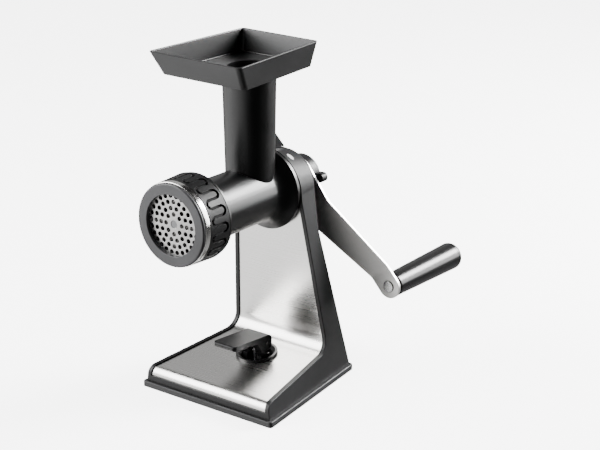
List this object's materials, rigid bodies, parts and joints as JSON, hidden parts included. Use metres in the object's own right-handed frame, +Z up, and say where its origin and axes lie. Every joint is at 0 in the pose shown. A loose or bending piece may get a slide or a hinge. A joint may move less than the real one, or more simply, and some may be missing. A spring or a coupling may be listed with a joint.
{
  "type": "hand crank meat grinder",
  "caption": "Tabletop hand crank meat grinder: suction stand with steel cover, feed tray and tube, horizontal barrel with perforated outlet disc, and a crank with a turning grip.",
  "frame": {"origin": "centre of the foot's underside, where it stands on the table, on the suction stem's line", "axes": "+Z up, -Y out of the perforated outlet, +Y towards the crank, +X to the side the crank arm points at rest"},
  "size_m": [0.2009, 0.3567, 0.37],
  "materials": {
    "stand_shell": "satin black moulded plastic",
    "steel_cover": "fine brushed stainless sheet",
    "foot_ring": "matte black rubber",
    "base_plate": "matte black plastic",
    "base_screws": "zinc plated",
    "suction_cup": "soft black rubber",
    "suction_stem": "turned steel",
    "lever_pin": "turned steel",
    "stem_guide": "natural nylon",
    "lever_bezel": "satin black plastic",
    "suction_lever": "satin black plastic",
    "rear_cap": "satin black plastic",
    "front_bearing": "natural nylon",
    "rear_bearing": "natural nylon",
    "lock_mark": "white inlay",
    "grinder_body": "satin black moulded plastic",
    "auger_bush": "natural nylon",
    "perforated_disc": "ground steel",
    "cutter_blade": "ground steel",
    "front_ring": "satin dark grey plastic",
    "steel_ring": "polished steel band",
    "ring_nut": "satin black plastic",
    "food_tray": "gloss black plastic",
    "auger": "grey glass-filled plastic",
    "drive_shaft": "turned steel",
    "thrust_washer": "natural nylon",
    "crank_hub": "satin black plastic",
    "crank_arm": "satin stainless strip",
    "crank_knob": "satin black plastic",
    "grip_pin": "turned steel",
    "grip": "gloss black plastic",
    "grip_screw": "zinc plated",
    "grip_cap": "gloss black plastic"
  },
  "bodies": {
    "stand": {"stand_shell": "stand_shell", "steel_cover": "steel_cover", "foot_ring": "foot_ring", "base_plate": "base_plate", "base_screws": "base_screws", "suction_cup": "suction_cup", "stem_guide": "stem_guide", "lever_bezel": "lever_bezel", "rear_cap": "rear_cap", "front_bearing": "front_bearing", "rear_bearing": "rear_bearing", "lock_mark": "lock_mark"},
    "stem": {"suction_stem": "suction_stem", "lever_pin": "lever_pin"},
    "lever": {"suction_lever": "suction_lever"},
    "grinder": {"grinder_body": "grinder_body", "auger_bush": "auger_bush", "perforated_disc": "perforated_disc"},
    "ring": {"ring_nut": "ring_nut", "steel_ring": "steel_ring", "front_ring": "front_ring"},
    "tray": {"food_tray": "food_tray"},
    "crank": {"auger": "auger", "cutter_blade": "cutter_blade", "drive_shaft": "drive_shaft", "thrust_washer": "thrust_washer", "crank_hub": "crank_hub", "crank_arm": "crank_arm", "crank_knob": "crank_knob", "grip_pin": "grip_pin", "grip_screw": "grip_screw"},
    "grip": {"grip": "grip", "grip_cap": "grip_cap"}
  },
  "joints": [
    {"name": "crank_turn", "type": "hinge", "parent": "stand", "child": "crank", "pos_m": [0, 0, 0.211], "axis": [0, 1, 0], "continuous": true},
    {"name": "grip_spin", "type": "hinge", "parent": "crank", "child": "grip", "pos_m": [0.09906, 0, 0.09903], "axis": [0, 1, 0], "continuous": true},
    {"name": "stem_slide", "type": "slide", "parent": "stand", "child": "stem", "axis": [0, 0, 1], "range_m": [-0.0035, 0], "deforming": ["suction_cup"]},
    {"name": "lever_lift", "type": "hinge", "parent": "stem", "child": "lever", "pos_m": [0, 0, 0.046], "axis": [1, 0, 0], "range_deg": [-70, 0]},
    {"name": "grinder_lock", "type": "hinge", "parent": "stand", "child": "grinder", "pos_m": [0, 0, 0.211], "axis": [0, 1, 0], "range_deg": [-30, 0]},
    {"name": "ring_turn", "type": "hinge", "parent": "grinder", "child": "ring", "pos_m": [0, 0, 0.211], "axis": [0, 1, 0], "range_deg": [0, 90]},
    {"name": "tray_lift", "type": "slide", "parent": "grinder", "child": "tray", "axis": [0, 0, 1], "range_m": [0, 0.03]}
  ],
  "couplings": [
    {"joint": "stem_slide", "follows": "lever_lift", "m_per_rad": 0.00285}
  ]
}
